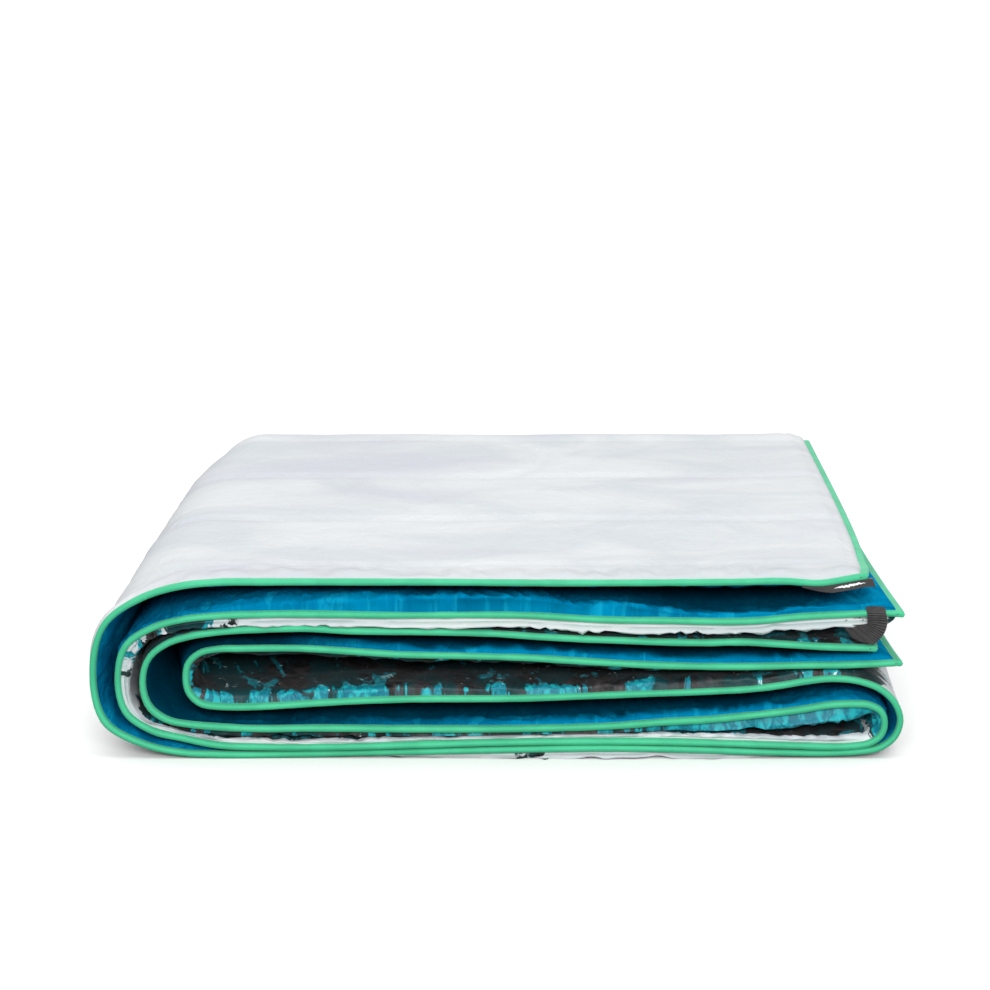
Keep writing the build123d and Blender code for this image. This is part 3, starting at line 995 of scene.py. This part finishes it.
def build_label():
    """A folded woven label, sewn under the cover's front tape: its free flap and its sewn strip."""
    xs = np.linspace(LABEL_LEFT, LABEL_RIGHT, LABEL_COLUMNS)
    _, y, z = np.array([edge_point(x, 1) for x in xs]).T
    under_tape = z - TAPE_HALF
    share = (xs - LABEL_LEFT) / (LABEL_RIGHT - LABEL_LEFT)
    drop = LABEL_DROP * np.clip(0.3 + 1.7 * share, 0, 1)

    def layer(down, front):
        """One row of the flap's front or back surface, at a share of the way down."""
        wave = LABEL_WAVE * np.sin(share * 9) * down
        middle_y = y - 0.6 - 1.6 * down * share + wave
        x = xs + LABEL_SLANT * down * share
        return np.stack([x, middle_y - front * LABEL_HALF, under_tape + 0.6 - drop * down], -1)

    rows_down = np.linspace(0, 1, LABEL_ROWS)
    surfaces = [np.array([layer(down, front) for down in rows_down]) for front in (1, -1)]
    flap = slab("Label_flap", *surfaces, uv_grid(share[None, :], 1 - rows_down[:, None]))
    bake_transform(flap)
    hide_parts("label_flap")

    surfaces = [
        np.array([np.stack([xs, y + depth, under_tape - down], -1) for depth in SEAM_ROWS])
        for down in (SEAM_TOP, SEAM_BOTTOM)
    ]
    strip_uv = uv_grid(share[None, :], np.linspace(0.2, 0.9, len(SEAM_ROWS))[:, None])
    strip = slab("Label_seam", *surfaces, strip_uv)
    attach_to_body(strip, "upper_half")
    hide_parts("label_seam")
    return [(flap, "label_charcoal"), (strip, "label_charcoal")]


# ---- materials, each wired by the function with its name

WEAVE_PITCH, WEBBING_PITCH, TWILL_PITCH = 0.0006, 0.0007, 0.0009
SNOW = ((0.57, 0.605, 0.64), (0.66, 0.685, 0.70), (0.545, 0.56, 0.62))
# The colour of the snow's painted shade, and how far it is mixed in.
SHADED_SNOW, SNOW_SHADE_SHARE = (0.43, 0.455, 0.48), 0.7
ROCK = ((0.004, 0.005, 0.006), (0.056, 0.045, 0.048))
DEEP = (0, 0.045, 0.052)
LAKE = ((0, 0.17, 0.24), (0.01, 0.40, 0.45))
SPRAY = (0.62, 0.78, 0.80)
LINING = ((0, 0.165, 0.34), (0, 0.24, 0.45))
# The lining's painted highlight on its creases.
LINING_HIGHLIGHT = (0.01, 0.44, 0.68)
# The colour of the lining's painted shade, and how far it is mixed in.
LINING_SHADE_COLOUR, LINING_SHADE_SHARE = (0, 0.03, 0.055), 0.88
FIBRE = ((0.78, 0.78, 0.76), (0.92, 0.92, 0.90))
TAPE = ((0.030, 0.40, 0.20), (0.044, 0.475, 0.24))
TAPE_TWILL = (0.16, 0.62, 0.40)
WEBBING = ((0.008, 0.0075, 0.008), (0.022, 0.020, 0.020))
WEBBING_RIB = (0.10, 0.095, 0.092)
LABEL = ((0.016, 0.015, 0.016), (0.036, 0.034, 0.035))
LABEL_STRIPE = (0.80, 0.82, 0.84)


class Shader:
    """A small helper to wire the nodes of a material or of the world."""

    def __init__(self, owner, surface="Principled BSDF"):
        owner.use_nodes = True
        self.owner = owner
        self.tree = owner.node_tree
        self.surface = self.tree.nodes[surface]

    def node(self, kind, inputs=None, **settings):
        made = self.tree.nodes.new("ShaderNode" + kind)
        for key, value in settings.items():
            setattr(made, key, value)
        for key, value in (inputs or {}).items():
            self.put(made.inputs[key], value)
        return made

    def put(self, socket, value):
        if isinstance(value, bpy.types.NodeSocket):
            self.tree.links.new(value, socket)
        elif isinstance(value, bpy.types.Node):
            self.tree.links.new(value.outputs[0], socket)
        else:
            socket.default_value = value

    def set(self, inputs):
        """Put values and nodes on the sockets of the shader itself."""
        for key, value in inputs.items():
            self.put(self.surface.inputs[key], value)

    def uv(self, scale=(1, 1, 1), turn=0.0):
        found = self.node("UVMap", uv_map="UVMap")
        return self.node("Mapping", {0: found, "Scale": scale, "Rotation": (0, 0, turn)})

    def attribute(self, name):
        return self.node("Attribute", attribute_name=name).outputs["Fac"]

    def seen(self):
        """1 where the camera sees the surface directly, 0 where light reaches it."""
        return self.node("LightPath").outputs["Is Camera Ray"]

    def noise(self, at, scale, detail=3.0, rough=0.5, distort=0.0):
        return self.node(
            "TexNoise",
            {"Vector": at, "Scale": scale, "Detail": detail, "Roughness": rough, "Distortion": distort},
        ).outputs["Fac"]

    def math(self, operation, a, b=0.0, c=0.0):
        return self.node("Math", {0: a, 1: b, 2: c}, operation=operation).outputs[0]

    def range(self, value, low, high, to_low=0.0, to_high=1.0, kind="SMOOTHSTEP"):
        return self.node(
            "MapRange",
            {"Value": value, "From Min": low, "From Max": high, "To Min": to_low, "To Max": to_high},
            interpolation_type=kind,
        ).outputs[0]

    def mix(self, share, a, b):
        made = self.node("Mix", data_type="RGBA")
        for socket, value in ((made.inputs[0], share), (made.inputs[6], a), (made.inputs[7], b)):
            self.put(socket, (*value, 1) if isinstance(value, tuple) else value)
        return made.outputs[2]

    def weave(self, pitch, turn=0.0):
        """A plain weave's over and under, from 0 to 1."""
        parts = self.node("SeparateXYZ", {0: self.uv((math.pi / pitch, math.pi / pitch, 1), turn)})
        a, b = (self.math("SINE", parts.outputs[k]) for k in (0, 1))
        return self.math("MULTIPLY_ADD", self.math("MULTIPLY", a, b), 0.5, 0.5)

    def relief(self, *layers):
        """A normal from bumps on each other, given as (height, strength, distance)."""
        normal = None
        for height, strength, distance in layers:
            bump = self.node("Bump", {"Height": height, "Strength": strength, "Distance": distance})
            if normal is not None:
                self.put(bump.inputs["Normal"], normal)
            normal = bump.outputs[0]
        return normal


def shell_print(s):
    """The outer cloth's print: snow, and dark rock with water and spray in it, and painted shade that
    greys the snow behind the cover's front edge.
    """
    at = s.uv()
    cloud = s.noise(at, 7, 5, 0.55, 0.8)
    haze = s.noise(s.uv((1, 1.6, 1)), 4.2, 3, 0.5, 0.4)
    snow = s.mix(s.range(cloud, 0.36, 0.62), SNOW[0], SNOW[1])
    snow = s.mix(s.range(haze, 0.50, 0.70, 0, 0.75), snow, SNOW[2])
    # Painted shade: greyer snow in the strip behind the cover's front edge.
    snow = s.mix(s.math("MULTIPLY", s.attribute("print_grey"), SNOW_SHADE_SHARE), snow, SHADED_SNOW)

    grain = s.noise(at, 60, 4, 0.65, 1.5)
    deep = s.noise(s.uv((1, 0.5, 1), 0.4), 34, 3, 0.55, 0.4)
    rock = s.mix(s.range(grain, 0.38, 0.68), ROCK[0], ROCK[1])
    rock = s.mix(s.range(deep, 0.44, 0.58, 0, 0.85), rock, DEEP)

    water = s.attribute("print_water")
    pools = s.noise(s.uv((1, 0.42, 1)), 58, 4, 0.6, 0.5)
    pools = s.math("ADD", pools, s.math("MULTIPLY", water, 0.22))
    glint = s.noise(at, 210, 3, 0.6, 0.8)
    lake = s.mix(s.range(glint, 0.42, 0.62), LAKE[0], LAKE[1])
    rock = s.mix(s.range(pools, 0.525, 0.565), rock, lake)

    # Spray is a little more likely next to a pool, and less where the water is open.
    spray = s.noise(s.uv((1, 1, 1), 0.7), 96, 4, 0.7, 1.4)
    spray = s.math("ADD", spray, s.math("MULTIPLY", s.range(pools, 0.5, 0.62), 0.04))
    spray = s.math("SUBTRACT", spray, s.math("MULTIPLY", water, 0.1))
    rock = s.mix(s.range(spray, 0.665, 0.70), rock, SPRAY)

    ragged = s.noise(at, 42, 5, 0.62, 1.6)
    edge = s.math("ADD", s.attribute("print_darkness"), s.math("MULTIPLY_ADD", ragged, 1.6, -0.8))
    creases = s.noise(s.uv((1, 0.4, 1), 0.5), 38, 4, 0.6, 0.9)
    crinkle = s.noise(at, 130, 4, 0.6, 0.6)
    weave = s.weave(WEAVE_PITCH)
    s.set({
        "Base Color": s.mix(s.range(edge, 0.47, 0.53), snow, rock),
        "Normal": s.relief((creases, 0.45, 0.004), (crinkle, 0.4, 0.0014), (weave, 0.15, 0.00008)),
        "Roughness": 0.5,
        "Sheen Weight": 0.04,
        "Specular IOR Level": 0.28,
    })


def lining_blue(s):
    shade = s.noise(s.uv(), 26, 3, 0.5, 0.5)
    folds = s.noise(s.uv((1, 0.34, 1), 0.7), 85, 4, 0.6, 1.3)
    crinkle = s.noise(s.uv((1, 0.45, 1)), 190, 4, 0.6, 0.8)
    colour = s.mix(s.range(shade, 0.3, 0.7), LINING[0], LINING[1])
    # Painted highlight: the crests of the fold noise are drawn a lighter cyan, as light catching the
    # creases.
    colour = s.mix(s.range(folds, 0.50, 0.68, 0, 0.4), colour, LINING_HIGHLIGHT)
    # Painted shade: the lining is drawn darker where it lies in shade, on the undersides and inside the
    # folds.
    inside = s.math("MULTIPLY", s.attribute("fold_inside"), LINING_SHADE_SHARE)
    weave = s.weave(WEAVE_PITCH)
    s.set({
        "Base Color": s.mix(inside, colour, LINING_SHADE_COLOUR),
        "Normal": s.relief((folds, 0.8, 0.004), (crinkle, 0.5, 0.0012), (weave, 0.15, 0.00008)),
        "Roughness": 0.44,
        "Specular IOR Level": 0,
        "Sheen Weight": 0.04,
        "Sheen Roughness": 0.4,
        "Sheen Tint": (0.02, 0.42, 0.85, 1),
    })


def insulation_white(s):
    fibres = s.noise(s.uv((1, 0.2, 1)), 400, 5, 0.7, 2)
    s.set({
        "Base Color": s.mix(s.range(fibres, 0.3, 0.7), *FIBRE),
        "Normal": s.relief((fibres, 0.6, 0.001)),
        "Roughness": 0.95,
    })


def binding_green(s):
    tone = s.noise(s.uv(), 45, 3, 0.5, 0.3)
    twill = s.weave(TWILL_PITCH, math.radians(35))
    ripple = s.noise(s.uv((1, 0.35, 1)), 210, 3, 0.55, 0.2)
    colour = s.mix(s.range(tone, 0.3, 0.7), *TAPE)
    s.set({
        "Base Color": s.mix(s.math("MULTIPLY", twill, 0.10), colour, TAPE_TWILL),
        "Normal": s.relief((ripple, 0.4, 0.0007), (twill, 0.3, 0.0001)),
        "Roughness": 0.55,
        "Sheen Weight": 0.2,
        "Sheen Tint": (0.55, 1, 0.78, 1),
        "Specular IOR Level": 0.3,
    })


def webbing_black(s):
    wear = s.noise(s.uv(), 300, 4, 0.6, 0.4)
    down = s.node("SeparateXYZ", {0: s.uv()}).outputs[1]
    ribs = s.math("COSINE", s.math("MULTIPLY", down, 2 * math.pi / (LOOP_RIB_PITCH * MM)))
    colour = s.mix(s.range(wear, 0.35, 0.7), *WEBBING)
    s.set({
        "Base Color": s.mix(s.range(ribs, 0.3, 0.95, 0, 0.4), colour, WEBBING_RIB),
        "Normal": s.relief((s.weave(WEBBING_PITCH), 0.4, 0.00015)),
        "Roughness": 0.7,
        "Sheen Weight": 0.15,
    })


def label_charcoal(s):
    """A dark ground with a plain woven stripe, jagged and thinner to both ends."""
    parts = s.node("SeparateXYZ", {0: s.uv()})
    weft = s.noise(s.uv((60, 400, 1)), 1, 3, 0.6)
    jag = s.noise(s.uv((34, 1, 1)), 1, 3, 0.7)
    height = s.math("MULTIPLY_ADD", jag, 0.55, 0.28)
    off_middle = s.math("ABSOLUTE", s.math("SUBTRACT", parts.outputs[1], height))
    along = s.math("ABSOLUTE", s.math("SUBTRACT", parts.outputs[0], 0.66))
    stripe = s.math("LESS_THAN", off_middle, s.range(along, 0.10, 0.24, 0.12, 0))
    s.set({
        "Base Color": s.mix(stripe, s.mix(s.range(weft, 0.3, 0.7), *LABEL), LABEL_STRIPE),
        "Normal": s.relief((weft, 0.4, 0.0002)),
        "Roughness": 0.75,
        "Sheen Weight": 0.2,
    })


# ---- build

MATERIALS = {}
for make in (shell_print, lining_blue, insulation_white, binding_green, webbing_black, label_charcoal):
    material = bpy.data.materials.new(make.__name__)
    make(Shader(material))
    MATERIALS[make.__name__] = material

for piece, slot in build_quilt() + build_tapes() + build_loop() + build_bartacks() + build_label():
    piece.data.materials.append(MATERIALS[slot])

# ---- floor, light and camera

CAMERA_X, CAMERA_HEIGHT, CAMERA_DISTANCE = 0.029, 0.478, 2.052
CAMERA_PITCH, CAMERA_ROLL, CAMERA_YAW = 8.80, 0.14, 0.835
FOCAL_LENGTH, SENSOR_WIDTH = 127.3, 36.0
SKY_LOW, SKY_TOP = 0.03, 1.62
# How much brighter the sky gets towards the back, as a share of how much it does towards the top.
SKY_BEHIND = 0.06
KEY_PLACE, KEY_TARGET, KEY_SIZE = (0.12, -3.0, 1.0), (0, FRONT * MM, 0.05), (1.6, 0.7)
KEY_POWER = 64.0
FLOOR_SIZE = 300.0
# Drawn white, but it throws back less light than it would, as a studio table does.
FLOOR_SEEN, FLOOR_BOUNCE = (1.0, 1.0, 1.0), (0.32, 0.32, 0.32)
WHITE = (1.0, 1.0, 1.0, 1.0)


def build_floor():
    half = FLOOR_SIZE / 2 / MM
    corners = [(-half, -half, 0), (half, -half, 0), (half, half, 0), (-half, half, 0)]
    floor = mesh_piece("Floor", corners, [(0, 1, 2, 3)])
    material = bpy.data.materials.new("floor_white")
    s = Shader(material)
    s.set({"Base Color": s.mix(s.seen(), FLOOR_BOUNCE, FLOOR_SEEN), "Roughness": 0.9})
    floor.data.materials.append(material)


def build_sky():
    world = bpy.data.worlds.new("Studio")
    bpy.context.scene.world = world
    s = Shader(world, "Background")
    way = s.node("TexCoord").outputs["Generated"]
    parts = s.node("SeparateXYZ", {0: way})
    behind = s.math("MAXIMUM", parts.outputs["Y"], 0.0)
    height = s.math("MULTIPLY_ADD", behind, SKY_BEHIND, parts.outputs["Z"])
    strength = s.range(height, 0.0, 1.0, SKY_LOW, SKY_TOP, "LINEAR")
    # Past the floor's far edge the backdrop is drawn white.
    s.set({"Color": WHITE, "Strength": s.math("MAXIMUM", strength, s.seen())})


def build_light():
    data = bpy.data.lights.new("Key", "AREA")
    data.shape = "RECTANGLE"
    data.size, data.size_y = KEY_SIZE
    data.energy = KEY_POWER
    lamp = linked("Key", data)
    lamp.location = KEY_PLACE
    way = Vector(KEY_TARGET) - Vector(KEY_PLACE)
    lamp.rotation_mode = "QUATERNION"
    lamp.rotation_quaternion = way.to_track_quat("-Z", "Y")


def build_camera():
    data = bpy.data.cameras.new("Camera")
    data.sensor_width = SENSOR_WIDTH
    data.lens = FOCAL_LENGTH
    data.clip_start, data.clip_end = 0.05, 400.0
    camera = linked("Camera", data)
    camera.location = (CAMERA_X, FRONT * MM - CAMERA_DISTANCE, CAMERA_HEIGHT)
    turns = (90 - CAMERA_PITCH, CAMERA_ROLL, CAMERA_YAW)
    camera.rotation_euler = [math.radians(turn) for turn in turns]
    bpy.context.scene.camera = camera


build_floor()
build_sky()
build_light()
build_camera()
bpy.context.scene.view_settings.view_transform = "Standard"
